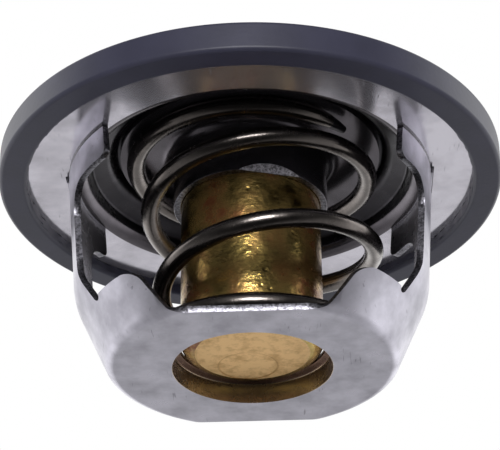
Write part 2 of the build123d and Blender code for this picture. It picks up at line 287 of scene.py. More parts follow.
def modify(piece, kind, **settings):
    """Gives a piece a modifier with its settings and applies it."""
    take(piece)
    modifier = piece.modifiers.new(kind.lower(), kind)
    for name, value in settings.items():
        setattr(modifier, name, value)
    bpy.ops.object.modifier_apply(modifier=modifier.name)


def cut_with(piece, tool, finish_name="sheared_steel_edge", operation="DIFFERENCE"):
    """Applies a Boolean of piece and tool; the tool leaves its finish on the cut and goes away."""
    coat(tool, finish_name)
    how = {"solver": "EXACT", "material_mode": "TRANSFER"}
    modify(piece, "BOOLEAN", operation=operation, object=tool, **how)
    take(tool)
    bpy.ops.object.delete()


def thicken(piece, sheet):
    """Gives a trimmed skin its sheet thickness on the inside, with rims square to the sheet.

    Faces that the trimming tool left behind are known by the second material, and go. The rims
    then take that material, and the inside the third, whose darker steel paints shade there.
    """
    take(piece)
    bpy.ops.object.mode_set(mode="EDIT")
    bpy.ops.mesh.select_mode(type="FACE")
    bpy.ops.mesh.select_all(action="DESELECT")
    skin = bmesh.from_edit_mesh(piece.data)
    for face in skin.faces:
        face.select_set(face.material_index == 1)
    bmesh.update_edit_mesh(piece.data)
    bpy.ops.mesh.delete(type="FACE")
    bpy.ops.mesh.select_mode(type="VERT")
    close_up(piece)
    looks = {"material_offset_rim": 1, "material_offset": 2}
    even = {"use_even_offset": True, "use_rim": True}
    modify(piece, "SOLIDIFY", thickness=sheet, offset=-1, **even, **looks)


def break_edges(piece, width, segments=2, angle=35, rubbed=-1):
    """Rounds the edges, as tumbling does; rubbed is the material index of the rounding."""
    sharp = {"limit_method": "ANGLE", "angle_limit": math.radians(angle)}
    even = {"harden_normals": False, "use_clamp_overlap": True}
    modify(piece, "BEVEL", width=width, segments=segments, material=rubbed, **sharp, **even)


def join(piece, other):
    """Makes two bodies one piece."""
    take(piece)
    other.select_set(True)
    bpy.ops.object.join()


def coat(piece, *finishes):
    """Gives a piece its materials, the first one for most of its faces."""
    piece.data.materials.clear()
    for name in finishes:
        piece.data.materials.append(finish(name))


def paint(piece, index, wanted):
    """Gives the material of that index to the faces that wanted accepts by centre and normal."""
    for face in piece.data.polygons:
        if wanted(face.center, face.normal):
            face.material_index = index


def hand_over(piece, body, slot, *nodes):
    """Shades a finished piece smooth between its real edges and puts it in place of its nodes."""
    take(piece)
    bpy.ops.object.shade_smooth_by_angle(angle=math.radians(32))
    modify(piece, "WEIGHTED_NORMAL", keep_sharp=True, weight=80)
    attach(piece, body)
    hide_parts(*nodes)
    lay_aside()


# ----- finishes -----


def add(tree, kind, inputs=None, **settings):
    """Adds a shader node; an input is a value, a socket, or a node whose first output feeds it."""
    node = tree.nodes.new("ShaderNode" + kind)
    for name, value in settings.items():
        setattr(node, name, value)
    for name, value in (inputs or {}).items():
        if isinstance(value, bpy.types.Node):
            value = next(socket for socket in value.outputs if socket.enabled)
        if isinstance(value, bpy.types.NodeSocket):
            tree.links.new(value, node.inputs[name])
        else:
            node.inputs[name].default_value = value
    return node


def emptied(shaded):
    """The cleared node tree of a new material or world."""
    shaded.use_nodes = True
    shaded.node_tree.nodes.clear()
    return shaded.node_tree


def fresh(name):
    """A new material's node tree and its object coordinates."""
    tree = emptied(bpy.data.materials.new(name))
    return tree, add(tree, "TexCoord").outputs["Object"]


def surface(tree, tint, roughness, metallic, relief=None, extra=None):
    """Ends a material with its shader and output."""
    inputs = {"Base Color": tint, "Roughness": roughness, "Metallic": metallic, **(extra or {})}
    if relief:
        inputs["Normal"] = relief
    add(tree, "OutputMaterial", {"Surface": add(tree, "BsdfPrincipled", inputs)})


def shade_of(rgb, amount=1.0):
    """A colour made darker or lighter by a factor."""
    return tuple(min(1.0, c * amount) for c in rgb) + (1.0,)


def in_spots(tree, place, spots, tones, spread=(0.0, 1.0)):
    """Two tones in spots: the noise, the share of the second tone, and the tint.

    spots holds the spots' size in millimetres and the noise's detail and roughness, and spread
    the part of the noise that parts the tones.
    """
    size, detail, rough = spots
    grain = {"Vector": place, "Scale": 1 / (size * MM), "Detail": detail, "Roughness": rough}
    noise = add(tree, "TexNoise", grain)
    share = add(tree, "MapRange", {"Value": noise, "From Min": spread[0], "From Max": spread[1]})
    return noise, share, add(tree, "Mix", {0: share, 6: tones[0], 7: tones[1]}, data_type="RGBA")


def in_relief(tree, place, spots, depth, **under):
    """A relief of such spots, its depth in millimetres, over the relief that may lie under it."""
    size, detail, rough = spots
    grain = {"Vector": place, "Scale": 1 / (size * MM), "Detail": detail, "Roughness": rough}
    height = add(tree, "TexNoise", grain)
    return add(tree, "Bump", {"Height": height, "Distance": depth * MM, **under})


def duller(tree, noise, dull, bright):
    """A roughness that falls from dull to bright where the noise rises."""
    fall = {"From Min": 0.3, "From Max": 0.7, "To Min": dull, "To Max": bright}
    return add(tree, "MapRange", {"Value": noise, **fall})


def stainless(name, rgb, roughness, cloud_mm, wave_mm, wave_depth, scratch):
    """Bare stainless sheet: cold neutral grey, its rolled skin clouded and lightly scratched.

    cloud_mm is the size of the dull patches, wave_mm and wave_depth the unevenness left by the
    press, and scratch how strongly handling marks show.
    """
    tree, place = fresh(name)
    # Dull patches scatter more light and look a little darker.
    tones = shade_of(rgb, 0.78), shade_of(rgb, 1.1)
    cloud, _, tint = in_spots(tree, place, (cloud_mm, 4.0, 0.6), tones, (0.34, 0.62))
    # Short handling marks, about a millimetre long and a twentieth wide.
    slant = {"Rotation": (0.3, 0.2, 0.8), "Scale": (1.0, 0.09, 0.5)}
    slanted = add(tree, "Mapping", {"Vector": place, **slant})
    marks = add(tree, "TexNoise", {"Vector": slanted, "Scale": 1 / (0.22 * MM), "Detail": 1.0})
    thin = add(tree, "MapRange", {"Value": marks, "From Min": 0.66, "From Max": 0.72})
    sparse = add(tree, "TexNoise", {"Vector": place, "Scale": 1 / (3.5 * MM), "Detail": 1.0})
    where = add(tree, "MapRange", {"Value": sparse, "From Min": 0.55, "From Max": 0.68})
    scuff = add(tree, "Math", {0: thin, 1: where}, operation="MULTIPLY")
    scuffed = add(tree, "Math", {0: scuff, 1: scratch}, operation="MULTIPLY")
    dark = add(tree, "Mix", {0: scuffed, 6: tint, 7: shade_of(rgb, 0.3)}, data_type="RGBA")
    waves = in_relief(tree, place, (wave_mm, 2.0, 0.4), wave_depth)
    grooves = add(tree, "Bump", {"Height": scuffed, "Distance": 0.01 * MM, "Normal": waves})
    rough = duller(tree, cloud, roughness * 1.3, roughness * 0.75)
    # A little less than bare metal: the thin film left by washing scatters some light even where
    # nothing is mirrored.
    surface(tree, dark, rough, 0.93, grooves)


def sheared_edge(name, rgb, dull, bright, metallic, roughness):
    """The cut edge of stamped sheet: grey with brighter torn spots, a quarter millimetre apart."""
    tree, place = fresh(name)
    teeth, tones = (0.25, 2.0, 0.6), (shade_of(rgb, dull), shade_of(rgb, bright))
    tint = in_spots(tree, place, teeth, tones, (0.36, 0.68))[2]
    surface(tree, tint, roughness, metallic, in_relief(tree, place, teeth, 0.03))


def spring_wire(name, rgb):
    """Oil-tempered wire: brown-grey oxide skin with a soft shine and small nicks."""
    tree, place = fresh(name)
    tones = shade_of(rgb, 0.6), shade_of(rgb, 1.15)
    skin, _, tint = in_spots(tree, place, (1.6, 5.0, 0.6), tones)
    nicks = in_relief(tree, place, (0.35, 3.0, 0.5), 0.012)
    surface(tree, tint, duller(tree, skin, 0.3, 0.18), 1.0, nicks)


def drawn_brass(name, rgb, stain_rgb):
    """Drawn brass, browned by heat and oil, with rubbed golden patches and small bright dents."""
    tree, place = fresh(name)
    tones = shade_of(stain_rgb), shade_of(rgb)
    stain, spread, tint = in_spots(tree, place, (5.0, 5.0, 0.6), tones, (0.36, 0.6))
    # The brown film is not metal: it keeps its colour where bare brass would mirror the dark.
    bare = add(tree, "MapRange", {"Value": spread, "To Min": 0.8, "To Max": 1.0})
    dents = add(tree, "TexVoronoi", {"Vector": place, "Scale": 1 / (2.0 * MM)})
    pit = add(tree, "MapRange", {"Value": dents, "From Min": 0.0, "From Max": 0.16})
    dented = add(tree, "Bump", {"Height": pit, "Distance": 0.05 * MM})
    waved = in_relief(tree, place, (1.7, 4.0, 0.6), 0.11, Normal=dented)
    # Rings left by sizing the cup in its die.
    flattened = add(tree, "Mapping", {"Vector": place, "Scale": (0.12, 0.12, 1.0)})
    rings = in_relief(tree, flattened, (0.35, 2.0, 0.5), 0.012, Normal=waved)
    surface(tree, tint, duller(tree, stain, 0.32, 0.14), bare, rings)


def tumbled_brass(name, rgb):
    """The closed end of the cup: brass dulled by tumbling, sand-coloured, with brown stains."""
    tree, place = fresh(name)
    tones = (rgb[0] * 0.74, rgb[1] * 0.67, rgb[2] * 0.56, 1.0), shade_of(rgb, 1.05)
    tint = in_spots(tree, place, (1.8, 6.0, 0.7), tones, (0.36, 0.54))[2]
    # Darker along the edge of the ejector's mark.
    level = add(tree, "VectorMath", {0: place, 1: (1.0, 1.0, 0.0)}, operation="MULTIPLY")
    away = add(tree, "VectorMath", {0: level, 1: (*EJECTOR_PLACE, 0)}, operation="DISTANCE")
    corner = add(tree, "Math", {0: away, 1: EJECTOR_RADIUS, 2: 0.1 * MM}, operation="COMPARE")
    edge_darkening = add(tree, "Math", {0: corner, 1: 0.5}, operation="MULTIPLY")
    edge_mix = {0: edge_darkening, 6: tint, 7: (0.62, 0.52, 0.4, 1.0)}
    edge_darkened = add(tree, "Mix", edge_mix, data_type="RGBA", blend_type="MULTIPLY")
    surface(tree, edge_darkened, 0.5, 0.6, in_relief(tree, place, (0.3, 4.0, 0.7), 0.03))


def ground_steel(name):
    """A ground rod: bright, its rings too fine to see and drawn a tenth of a millimetre apart."""
    tree, place = fresh(name)
    waves = {"Vector": place, "Scale": 1 / (0.5 * MM), "Distortion": 0.6}
    rings = add(tree, "TexWave", waves, bands_direction="Z").outputs["Fac"]
    tones = {0: rings, 6: shade_of(linear("#B9BBBF")), 7: shade_of(linear("#DADCE0"))}
    tint = add(tree, "Mix", tones, data_type="RGBA")
    ground = add(tree, "Bump", {"Height": rings, "Distance": 0.004 * MM})
    surface(tree, tint, 0.16, 1.0, ground)


def moulded_rubber(name, rgb, roughness, grain_mm):
    """Moulded rubber: near black, a fine skin from the mould and a faint bloom."""
    tree, place = fresh(name)
    tones = shade_of(rgb, 0.75), shade_of(rgb, 1.35)
    bloom = in_spots(tree, place, (4.0, 4.0, 0.5), tones)[2]
    grain = in_relief(tree, place, (grain_mm, 3.0, 0.5), 0.012)
    surface(tree, bloom, roughness, 0.0, grain, {"Specular IOR Level": 0.3})


def cast_wax(name):
    """Wax filled with copper powder: warm brown, soft and slightly see-through at its skin."""
    tree, place = fresh(name)
    tones = shade_of(linear("#7A4A2C")), shade_of(linear("#B9774A"))
    powder = in_spots(tree, place, (0.4, 4.0, 0.5), tones)[2]
    soft = {"Subsurface Weight": 0.1, "Subsurface Scale": 0.5 * MM}
    surface(tree, powder, 0.5, 0.0, extra=soft)


def skived_plastic(name):
    """Skived fluoropolymer washer: milky white and waxy, with faint cutting marks."""
    tree, place = fresh(name)
    tones = shade_of(linear("#D9D7D0")), shade_of(linear("#F0EEE8"))
    surface(tree, in_spots(tree, place, (0.5, 2.0, 0.5), tones)[2], 0.42, 0.0)


# Each finish: what makes it, its colours in the panel, and its facts in its maker's order: for
# sheet roughness, cloud_mm, wave_mm, wave_depth and scratch, for edges dull, bright, metallic and
# roughness, for rubber roughness and grain_mm.
FINISHES = {
    # Bright from the drawing tool, nearly a mirror.
    "bright_drawn_stainless": (stainless, ["flange_steel"], 0.15, 6.0, 7.0, 0.035, 0.8),
    # Stretched by the draw, so its grain has opened and gone dull; its darker colour is painted
    # shade, on the flange's step and on the valve disc.
    "dull_drawn_stainless": (stainless, ["drawn_steel"], 0.2, 5.0, 6.0, 0.03, 0.6),
    # Painted shade: a much darker copy of the steel, for the flange's recess, the inside of the
    # cage, the band at the top of its legs and the wire's tips.
    "oil_darkened_stainless": (stainless, ["oiled_steel"], 0.28, 4.0, 5.0, 0.03, 0.6),
    # Tumbled after stamping: an even satin with soft edges.
    "tumbled_stainless": (stainless, ["cage_steel"], 0.34, 4.5, 5.0, 0.05, 0.6),
    # Painted reflection of the brass cup in the cage's mouth: golden on the wall, darker brown on
    # the guide's ledge.
    "brass_smeared_stainless": (stainless, ["brassed_steel"], 0.25, 2.0, 3.0, 0.03, 0.6),
    "oil_browned_stainless": (stainless, ["browned_steel"], 0.28, 2.0, 3.0, 0.03, 0.6),
    "sheared_steel_edge": (sheared_edge, ["cage_steel"], 0.15, 0.7, 1.0, 0.35),
    # The crystals of a torn face look every way, so that it is pale from wherever it is seen.
    "torn_steel_edge": (sheared_edge, ["flange_steel"], 0.15, 0.75, 0.4, 0.5),
    "oil_tempered_wire": (spring_wire, ["spring_steel"]),
    "drawn_brass": (drawn_brass, ["brass", "brass_stain"]),
    "tumbled_brass": (tumbled_brass, ["brass_end"]),
    "nitrile_rubber": (moulded_rubber, ["seal_rubber"], 0.42, 0.5),
    "sleeve_rubber": (moulded_rubber, ["seal_rubber"], 0.5, 0.3),
    "ground_steel_rod": (ground_steel, []),
    "copper_filled_wax": (cast_wax, []),
    "skived_plastic": (skived_plastic, []),
}


def finish(name):
    """The material of that name, made when first wanted and shared by all that have it."""
    if name not in bpy.data.materials:
        maker, colours, *facts = FINISHES[name]
        palette = bpy.context.scene.valve_finish
        maker(name, *[getattr(palette, rgb) for rgb in colours], *facts)
    return bpy.data.materials[name]


# ----- the pieces -----


class VALVE_OT_flange(bpy.types.Operator):
    """Draw the stepped flange, spin it and cut the two slots for the cage's tangs"""

    bl_idname = "valve.flange"
    bl_label = "Flange"

    def execute(self, context):
        sizes = context.scene.valve_sizes
        low = sizes.flange_low
        # The seat stands over the step; a short cone joins its edge to the step's roof.
        seat_rise, cone_rise, step_rise = mm(3.9, 2.8, 2.0)
        seat_lap, seat_edge, cone_foot = mm(0.8, 0.5, 0.8)
        face = [
            (sizes.valve_radius - seat_lap, low + seat_rise),
            (sizes.valve_radius + seat_edge, low + seat_rise),
            (sizes.valve_radius + cone_foot, low + cone_rise),
            (sizes.step_radius, low + step_rise),
            (sizes.step_radius, low),
            (sizes.flange_radius, low),
        ]
        outline, radii = sheet_outline(face, [sizes.flange_bend] * 4, sizes.flange_sheet)
        steels = ["bright_drawn_stainless", "sheared_steel_edge"]
        steels += ["dull_drawn_stainless", "oil_darkened_stainless"]
        flange = turned("flange_sheet", outline, radii, steels)
        slot_gap, lift = 0.15 * MM, Vector((0, 0, 3 * MM))
        long, wide = sizes.tang_width / 2 + slot_gap, sizes.cage_sheet / 2 + slot_gap
        middle = sizes.cage_top_radius - sizes.cage_sheet / 2
        height = Vector((0, 0, low + sizes.flange_sheet / 2))
        for side in (-1, 1):
            inner, outer = side * (middle - wide), side * (middle + wide)
            corners = [(inner, -long), (outer, -long), (outer, long), (inner, long)]
            punch = draw_line("slot_punch", corners, [0] * 4, plane=flat)
            raise_outline(punch, lift, height)
            cut_with(flange, punch)
        # Painted shade: the step takes the darker copy of the steel, and the recess inside it the
        # darkest.
        outside = sizes.step_radius + sizes.flange_bend + sizes.flange_sheet
        inside = sizes.step_radius + 0.15 * MM
        paint(flange, 2, lambda centre, normal: centre.xy.length < outside)
        paint(flange, 3, lambda centre, normal: centre.xy.length < inside)
        hand_over(flange, "housing", "flange_steel", "flange")
        return {"FINISHED"}


class VALVE_OT_seal_ring(bpy.types.Operator):
    """Draw the ring's U section, spin it and let the lips' inner edges run a little uneven"""

    bl_idname = "valve.seal_ring"
    bl_label = "Sealing ring"

    def execute(self, context):
        sizes = context.scene.valve_sizes
        flange_top = sizes.flange_low + sizes.flange_sheet
        section = [
            (sizes.seal_inner, sizes.seal_low), (sizes.seal_radius, sizes.seal_low),
            (sizes.seal_radius, sizes.seal_high), (sizes.seal_inner, sizes.seal_high),
            (sizes.seal_inner, flange_top), (sizes.flange_radius, flange_top),
            (sizes.flange_radius, sizes.flange_low), (sizes.seal_inner, sizes.flange_low),
        ]
        radii = [sizes.seal_rounding] * 4 + [0] * 4
        ring = turned("seal_ring_rubber", section, radii, ["nitrile_rubber"])
        # The lips' inner edges keep a thin, uneven flash from the mould.
        take(ring)
        bpy.ops.object.mode_set(mode="EDIT")
        lips = sizes.seal_inner + 0.02 * MM
        pick(ring, lambda spot: spot.xy.length < lips)
        bpy.ops.transform.vertex_random(offset=0.1 * MM, uniform=0.8, normal=0, seed=7)
        bpy.ops.object.mode_set(mode="OBJECT")
        hand_over(ring, "housing", "seal_rubber", "seal_ring")
        return {"FINISHED"}


def leg_trim(sizes, side, ear_shift):
    """What one half of the sheet is trimmed to: half the dish, a leg and its two ears."""
    notch_outer, notch_middle, notch_inner = mm(7.9, 7.55, 6.9)
    waist, waist_top = 5.5 * MM, sizes.rim_height + 4.5 * MM
    ear_low = sizes.flange_low - 3.6 * MM
    half_reach = 15 * MM

    def half(ear_reach):
        return [
            (sizes.chord_distance, -1 * MM, 0),
            (sizes.chord_distance, sizes.rim_height, 1.4 * MM),
            (notch_outer, sizes.rim_height, 0.25 * MM),
            (notch_middle, sizes.rim_height - 0.75 * MM, 0.5 * MM),
            (notch_inner, sizes.rim_height - 0.2 * MM, 0.4 * MM),
            (waist, waist_top, 7.0 * MM),
            (waist, ear_low, 3.0 * MM),
            (ear_reach, ear_low, 0.9 * MM),
            (ear_reach, sizes.flange_low, 0),
        ]

    back = half(sizes.ear_reach - ear_shift)
    front = [(-along, up, radius) for along, up, radius in half(sizes.ear_reach + ear_shift)]
    whole = back + front[::-1]
    corners, radii = [spot[:2] for spot in whole], [spot[2] for spot in whole]
    trim = draw_line("cage_trim", corners, radii, plane=sideways, arc=10)
    raise_outline(trim, Vector((half_reach, 0, 0)), Vector((side * half_reach, 0, 0)))
    coat(trim, "sheared_steel_edge")
    return trim


class VALVE_OT_lower_cage(bpy.types.Operator):
    """Spin the dished sheet, trim it to its legs and ears, and add the clinched tangs"""

    bl_idname = "valve.lower_cage"
    bl_label = "Lower cage"

    def execute(self, context):
        sizes = context.scene.valve_sizes
        mouth = sizes.guide_radius + 0.7 * MM
        # Painted shadow: a dark band at the top of the legs, where they stand against the flange.
        shadow_band = 0.3 * MM
        shadow_band_low = sizes.flange_low - shadow_band
        lean = (sizes.knee_radius - sizes.cage_top_radius) / (sizes.flange_low - sizes.knee_height)
        face = [
            (sizes.guide_radius, sizes.collar_height),
            (sizes.guide_radius, 2.5 * MM),
            (mouth, 2.2 * MM),
            (mouth, 0),
            (sizes.flat_radius, 0),
            (sizes.knee_radius, sizes.knee_height),
            (sizes.cage_top_radius + lean * shadow_band, shadow_band_low),
            (sizes.cage_top_radius, sizes.flange_low),
        ]
        foot_bend, knee_bend = 0.4 * MM + sizes.cage_sheet, 5.0 * MM + sizes.cage_sheet
        bends = [0, 0.25 * MM, 0.25 * MM, 0.04 * MM, foot_bend, knee_bend, 0, 0]
        # The third finish is painted shade, on the inside of the sheet and at the top of the legs;
        # the fourth and fifth paint the brass cup's reflection in the mouth.
        steels = ["tumbled_stainless", "sheared_steel_edge", "oil_darkened_stainless"]
        steels += ["brass_smeared_stainless", "oil_browned_stainless"]
        drawing = {"closed": False, "arc": 14}
        cage = turned("lower_cage_sheet", face, bends, steels, CAGE_STEPS, **drawing)
        trim = leg_trim(sizes, 1, 0)
        cut_with(trim, leg_trim(sizes, -1, sizes.ear_shift), operation="UNION")
        cut_with(cage, trim, operation="INTERSECT")
        thicken(cage, sizes.cage_sheet)
        break_edges(cage, 0.09 * MM, rubbed=0)
        # Painted reflection of the brass on the mouth's wall and ledge, and a painted shadow at the
        # top of the legs.
        wall, ledge = mouth + 0.05 * MM, mouth - 0.05 * MM
        paint(cage, 3, lambda centre, normal: centre.xy.length < wall)
        paint(cage, 4, lambda centre, normal: centre.xy.length < ledge)
        paint(cage, 2, lambda centre, normal: centre.z > shadow_band_low)
        flange_top = sizes.flange_low + sizes.flange_sheet
        tang_face = [
            (sizes.cage_top_radius, sizes.flange_low - sizes.cage_sheet),
            (sizes.cage_top_radius, flange_top),
            (sizes.seal_inner - 1.5 * MM, flange_top),
        ]
        tang_outline, tang_radii = sheet_outline(tang_face, [0.15 * MM], sizes.cage_sheet)
        for side in (-1, 1):
            corners = [(side * along, up) for along, up in tang_outline]
            tang = draw_line("tang", corners, tang_radii)
            raise_outline(tang, Vector((0, sizes.tang_width / 2, 0)))
            coat(tang, "tumbled_stainless")
            break_edges(tang, 0.08 * MM)
            join(cage, tang)
        hand_over(cage, "housing", "cage_steel", "lower_cage")
        return {"FINISHED"}


class VALVE_OT_valve_disc(bpy.types.Operator):
    """Draw the disc with its collar, spin it and tear the collar's lip at the front"""

    bl_idname = "valve.valve_disc"
    bl_label = "Valve disc"

    def execute(self, context):
        sizes = context.scene.valve_sizes
        face = [
            (sizes.neck_radius, sizes.neck_low),
            (sizes.neck_radius, sizes.valve_low),
            (sizes.valve_radius, sizes.valve_low),
        ]
        collar_bend, lip_rounding = mm(1.6, 0.12)
        outline, radii = sheet_outline(face, [collar_bend], sizes.valve_sheet)
        radii[0] = radii[-1] = lip_rounding
        # The disc takes the darker copy of the steel, as painted shade.
        steels = "dull_drawn_stainless", "sheared_steel_edge", "torn_steel_edge"
        disc = turned("valve_disc_sheet", outline, radii, steels, arc=10)
        # Towards the front, the punch tore the collar's lip away at a slant.
        reach = sizes.neck_radius - sizes.valve_sheet + 0.08 * MM
        inner, outer = reach - MM, reach + 2 * MM
        low, high = sizes.neck_low - MM, sizes.neck_low + 2 * MM
        tear = draw_line("collar_tear", [(outer, high), (inner, low), (outer, low)], [0] * 3)
        raise_outline(tear, Vector((0, 5 * MM, 0)))
        take(tear)
        tear.rotation_euler.z = math.radians(-73)
        bpy.ops.object.transform_apply()
        cut_with(disc, tear, "torn_steel_edge")
        lip = sizes.neck_low + 0.05 * MM
        paint(disc, 1, lambda centre, normal: centre.z < lip and normal.z < -0.9)
        hand_over(disc, "valve_element", "valve_steel", "valve_disc")
        return {"FINISHED"}


def element_cup(sizes, ledge, rim):
    """The deep-drawn cup, whose rim is rolled in over the cover."""
    low, wall = sizes.element_low, 1.0 * MM
    floor, bore = low + 1.3 * MM, sizes.element_radius - wall
    shelf, lip_low, lip_high = ledge + 0.8 * MM, ledge + 3.1 * MM, ledge + 3.9 * MM
    rim_bore, lip = rim - 0.8 * MM, rim - 1.8 * MM
    section = [
        (0, low), (sizes.element_radius, low), (sizes.element_radius, ledge), (rim, ledge),
        (rim, lip_high), (lip, lip_high), (lip, lip_low), (rim_bore, lip_low),
        (rim_bore, shelf), (bore, shelf), (bore, floor), (0, floor),
    ]
    radii = mm(0, 1.5, 0, 0.15, 0.4, 0.25) + [0] * 6
    brasses = "drawn_brass", "tumbled_brass"
    cup = turned("element_cup_brass", section, radii, brasses, closed=False, arc=12)
    spot, dent = (*EJECTOR_PLACE, low), 0.1 * MM
    mark = {"vertices": ROD_STEPS, "radius": EJECTOR_RADIUS, "depth": dent, "location": spot}
    cut_with(cup, shaped(bpy.ops.mesh.primitive_cylinder_add, **mark), "tumbled_brass")
    end = low + 0.3 * MM
    paint(cup, 1, lambda centre, normal: centre.z < end and normal.z < -0.999)
    hand_over(cup, "valve_element", "element_brass", "element_cup")


def element_cover(floor, top, edge):
    """The cover turned from bar, its neck bored for the piston and the wiper."""
    bore, pocket, neck, recess = mm(2.05, 3.1, 4.6, 3.9)
    recess_roof, pocket_floor, neck_top = floor + 0.7 * MM, top + 2.7 * MM, top + 4.0 * MM
    section = [
        (recess, floor), (edge, floor), (edge, top), (neck, top), (neck, neck_top),
        (pocket, neck_top), (pocket, pocket_floor), (bore, pocket_floor),
        (bore, recess_roof), (recess, recess_roof),
    ]
    radii = mm(0, 0, 0.1, 0.3, 0.5, 0.1) + [0] * 4
    cover = turned("element_cover_brass", section, radii, ["drawn_brass"], arc=4)
    hand_over(cover, "valve_element", "cover_brass", "element_cover")


def wiper_ring(top):
    """The rubber that wipes the piston, at the top of the cover's neck."""
    bore, outside, low, high = 2.05 * MM, 3.08 * MM, top + 2.72 * MM, top + 4.0 * MM
    section = [(bore, low), (outside, low), (outside, high), (bore, high)]
    radii = mm(0.05, 0.05, 0.3, 0.15)
    wiper = turned("wiper_ring_rubber", section, radii, ["sleeve_rubber"], ROD_STEPS, arc=4)
    hand_over(wiper, "valve_element", "sleeve_rubber", "wiper_ring")


class VALVE_OT_wax_element(bpy.types.Operator):
    """Spin the brass cup with its rolled mouth, the turned cover and the wiper ring"""

    bl_idname = "valve.wax_element"
    bl_label = "Wax element"

    def execute(self, context):
        sizes = context.scene.valve_sizes
        ledge, rim = sizes.valve_low + 0.8 * MM, 11.2 * MM
        cover_low = ledge + 1.7 * MM
        cover_top = cover_low + 1.4 * MM
        element_cup(sizes, ledge, rim)
        element_cover(cover_low, cover_top, rim - 0.82 * MM)
        wiper_ring(cover_top)
        return {"FINISHED"}


class VALVE_OT_piston(bpy.types.Operator):
    """Spin the ground piston with its tapered end"""

    bl_idname = "valve.piston"
    bl_label = "Piston"

    def execute(self, context):
        low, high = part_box("piston")
        radius = context.scene.valve_sizes.piston_radius
        tip, taper = radius - 0.6 * MM, 2.4 * MM
        section = [(0, low.z), (tip, low.z), (radius, low.z + taper), (radius, high.z), (0, high.z)]
        radii = mm(0, 0.25, 1.0, 0.3, 0)
        drawing = {"closed": False, "arc": 5}
        rod = turned("piston_rod", section, radii, ["ground_steel_rod"], ROD_STEPS, **drawing)
        hand_over(rod, "housing", "piston_steel", "piston")
        return {"FINISHED"}


class VALVE_OT_main_spring(bpy.types.Operator):
    """Wind the spring's wire, flat at both seats, wider at the top and leaning to one side"""

    bl_idname = "valve.main_spring"
    bl_label = "Main spring"

    rings_per_turn: IntProperty(
        name="Rings per turn", description="How finely the wire is divided", default=72
    )

    # All counted in turns from the front of the bottom coil.
    ACTIVE = 2.83  # where the top coil goes flat
    PITCH_IN, PITCH_OUT = 0.31, 0.83  # over which the pitch grows and fades
    FULLEST = 0.9  # where the coils lean most
    START, END = -0.6, 3.15  # the wire's tips
    TAPER = 0.06  # length of the ground tips

    def height(self, turn, sizes):
        """Height of the wire's centre, with a smooth change of pitch at both seats."""
        left = self.ACTIVE - turn
        rise = sizes.spring_high - sizes.spring_low
        pitch = rise / (self.ACTIVE - self.PITCH_IN / 2 - self.PITCH_OUT / 2)
        if turn <= 0:
            return sizes.spring_low
        if left <= 0:
            return sizes.spring_high
        if turn < self.PITCH_IN:
            return sizes.spring_low + pitch * turn**2 / (2 * self.PITCH_IN)
        if left < self.PITCH_OUT:
            return sizes.spring_high - pitch * left**2 / (2 * self.PITCH_OUT)
        return sizes.spring_low + pitch * (turn - self.PITCH_IN / 2)

    def place(self, turn, sizes):
        """Point of the wire's centre line."""
        past = (turn - self.FULLEST) / (self.ACTIVE - self.FULLEST)
        if turn < self.FULLEST:
            least = 0.15
            swell = (1 - math.cos(math.pi * max(turn, 0) / self.FULLEST)) / 2
            lean = least + (1 - least) * swell
        else:
            lean = max(0, 1 - past)
        growth = max(0, min(1, past))
        radius = sizes.spring_radius + (sizes.spring_top_radius - sizes.spring_radius) * growth
        angle = 2 * math.pi * turn
        heading = math.radians(-41.8)
        along = radius * math.sin(angle) + sizes.spring_lean * lean * math.cos(heading)
        deep = -radius * math.cos(angle) + sizes.spring_lean * lean * math.sin(heading)
        return Vector((along, deep, self.height(turn, sizes)))

    def execute(self, context):
        sizes = context.scene.valve_sizes
        lay_aside()
        bpy.ops.curve.primitive_nurbs_path_add()
        wire = context.object
        wire.name = "main_spring_wire"
        line = wire.data
        line.splines.clear()
        turns = self.END - self.START
        steps = math.ceil(turns * self.rings_per_turn)
        run = line.splines.new("POLY")
        run.points.add(steps)
        for i, point in enumerate(run.points):
            point.co = (*self.place(self.START + turns * i / steps, sizes), 1)
            # Both ends are ground to a taper.
            tapered = min(i, steps - i) / (self.TAPER * self.rings_per_turn)
            point.radius = min(1, 0.4 + 0.6 * tapered)
        line.dimensions = "3D"
        line.bevel_depth = sizes.wire_radius
        line.bevel_resolution = 10
        line.use_fill_caps = True
        take(wire)
        bpy.ops.object.convert(target="MESH")
        wire = context.object
        bpy.ops.object.mode_set(mode="EDIT")
        close_up(wire)
        break_edges(wire, 0.12 * MM, segments=3, angle=50)
        coat(wire, "oil_tempered_wire", "oil_darkened_stainless")
        # The wire's ground tips take painted shade.
        tips = [self.place(turn, sizes) for turn in (self.START, self.END)]
        reach = 2.5 * sizes.wire_radius
        paint(wire, 1, lambda centre, normal: min((centre - tip).length for tip in tips) < reach)
        hand_over(wire, "housing", "spring_steel", "main_spring")
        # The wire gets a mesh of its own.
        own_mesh(wire)
        return {"FINISHED"}


def bridge_plan(foot_end, foot_start):
    """The strip's plan: a round pad over the axis, a waist at each side of it and two feet."""
    pad, foot, waist, steps = 7.4 * MM, 7.0 * MM, 4.5 * MM, 14
    waist_bend = waist + 0.25 * MM
    waist_start = math.sqrt(pad**2 - waist**2) + 1.6 * MM
    half_angle = math.asin(waist / pad)
    half = [
        (foot, foot_end, 2.0 * MM),
        (foot, foot_start, 1.5 * MM),
        (waist_bend, waist_start, 1.2 * MM),
    ]
    right = half[:]
    for i in range(1, steps):
        angle = half_angle + (math.pi - 2 * half_angle) * i / steps
        right.append((pad * math.sin(angle), pad * math.cos(angle), 0))
    right += [(along, -deep, radius) for along, deep, radius in half[::-1]]
    return right + [(-along, deep, radius) for along, deep, radius in right[::-1]]


